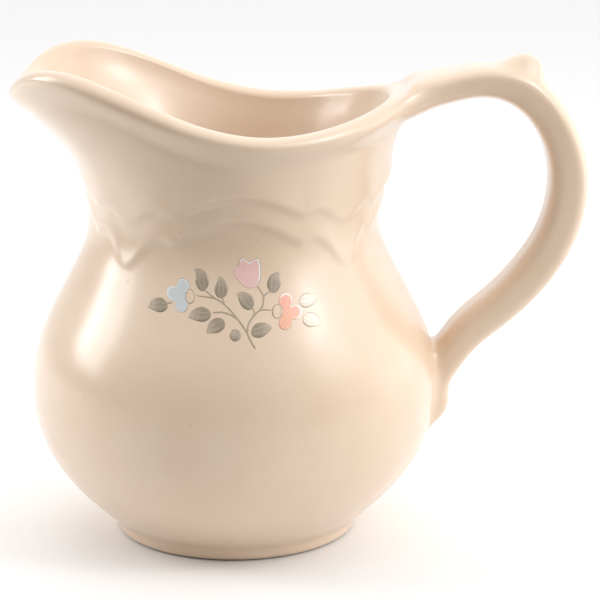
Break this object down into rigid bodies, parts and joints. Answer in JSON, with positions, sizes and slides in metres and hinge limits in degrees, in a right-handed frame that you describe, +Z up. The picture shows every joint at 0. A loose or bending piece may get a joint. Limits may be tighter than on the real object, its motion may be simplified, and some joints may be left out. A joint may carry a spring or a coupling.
{
  "type": "cream jug",
  "caption": "Glazed ceramic cream jug: round belly on a foot ring, waisted neck, wide pouring spout, looped strap handle with a thumb spur, and a floral transfer.",
  "frame": {"origin": "centre of the foot ring, on the plane that the jug stands on", "axes": "+Z up, the spout towards -X, the handle towards +X, the floral transfer facing -Y"},
  "size_m": [0.1201, 0.086, 0.102],
  "materials": {
    "vessel_glaze": "gloss",
    "handle_glaze": "gloss",
    "stem_enamel": "gloss",
    "leaf_enamel": "gloss",
    "pale_leaf_enamel": "gloss",
    "pink_enamel": "gloss",
    "blue_enamel": "gloss",
    "coral_enamel": "gloss",
    "bud_enamel": "gloss",
    "berry_enamel": "gloss"
  },
  "bodies": {
    "root": {"jug_body": "vessel_glaze", "handle": "handle_glaze", "transfer_stems": "stem_enamel", "transfer_leaves": "leaf_enamel", "transfer_pale_leaves": "pale_leaf_enamel", "transfer_tulip": "pink_enamel", "transfer_blue_flower": "blue_enamel", "transfer_coral_flower": "coral_enamel", "transfer_buds": "bud_enamel", "transfer_berry": "berry_enamel"}
  },
  "joints": []
}
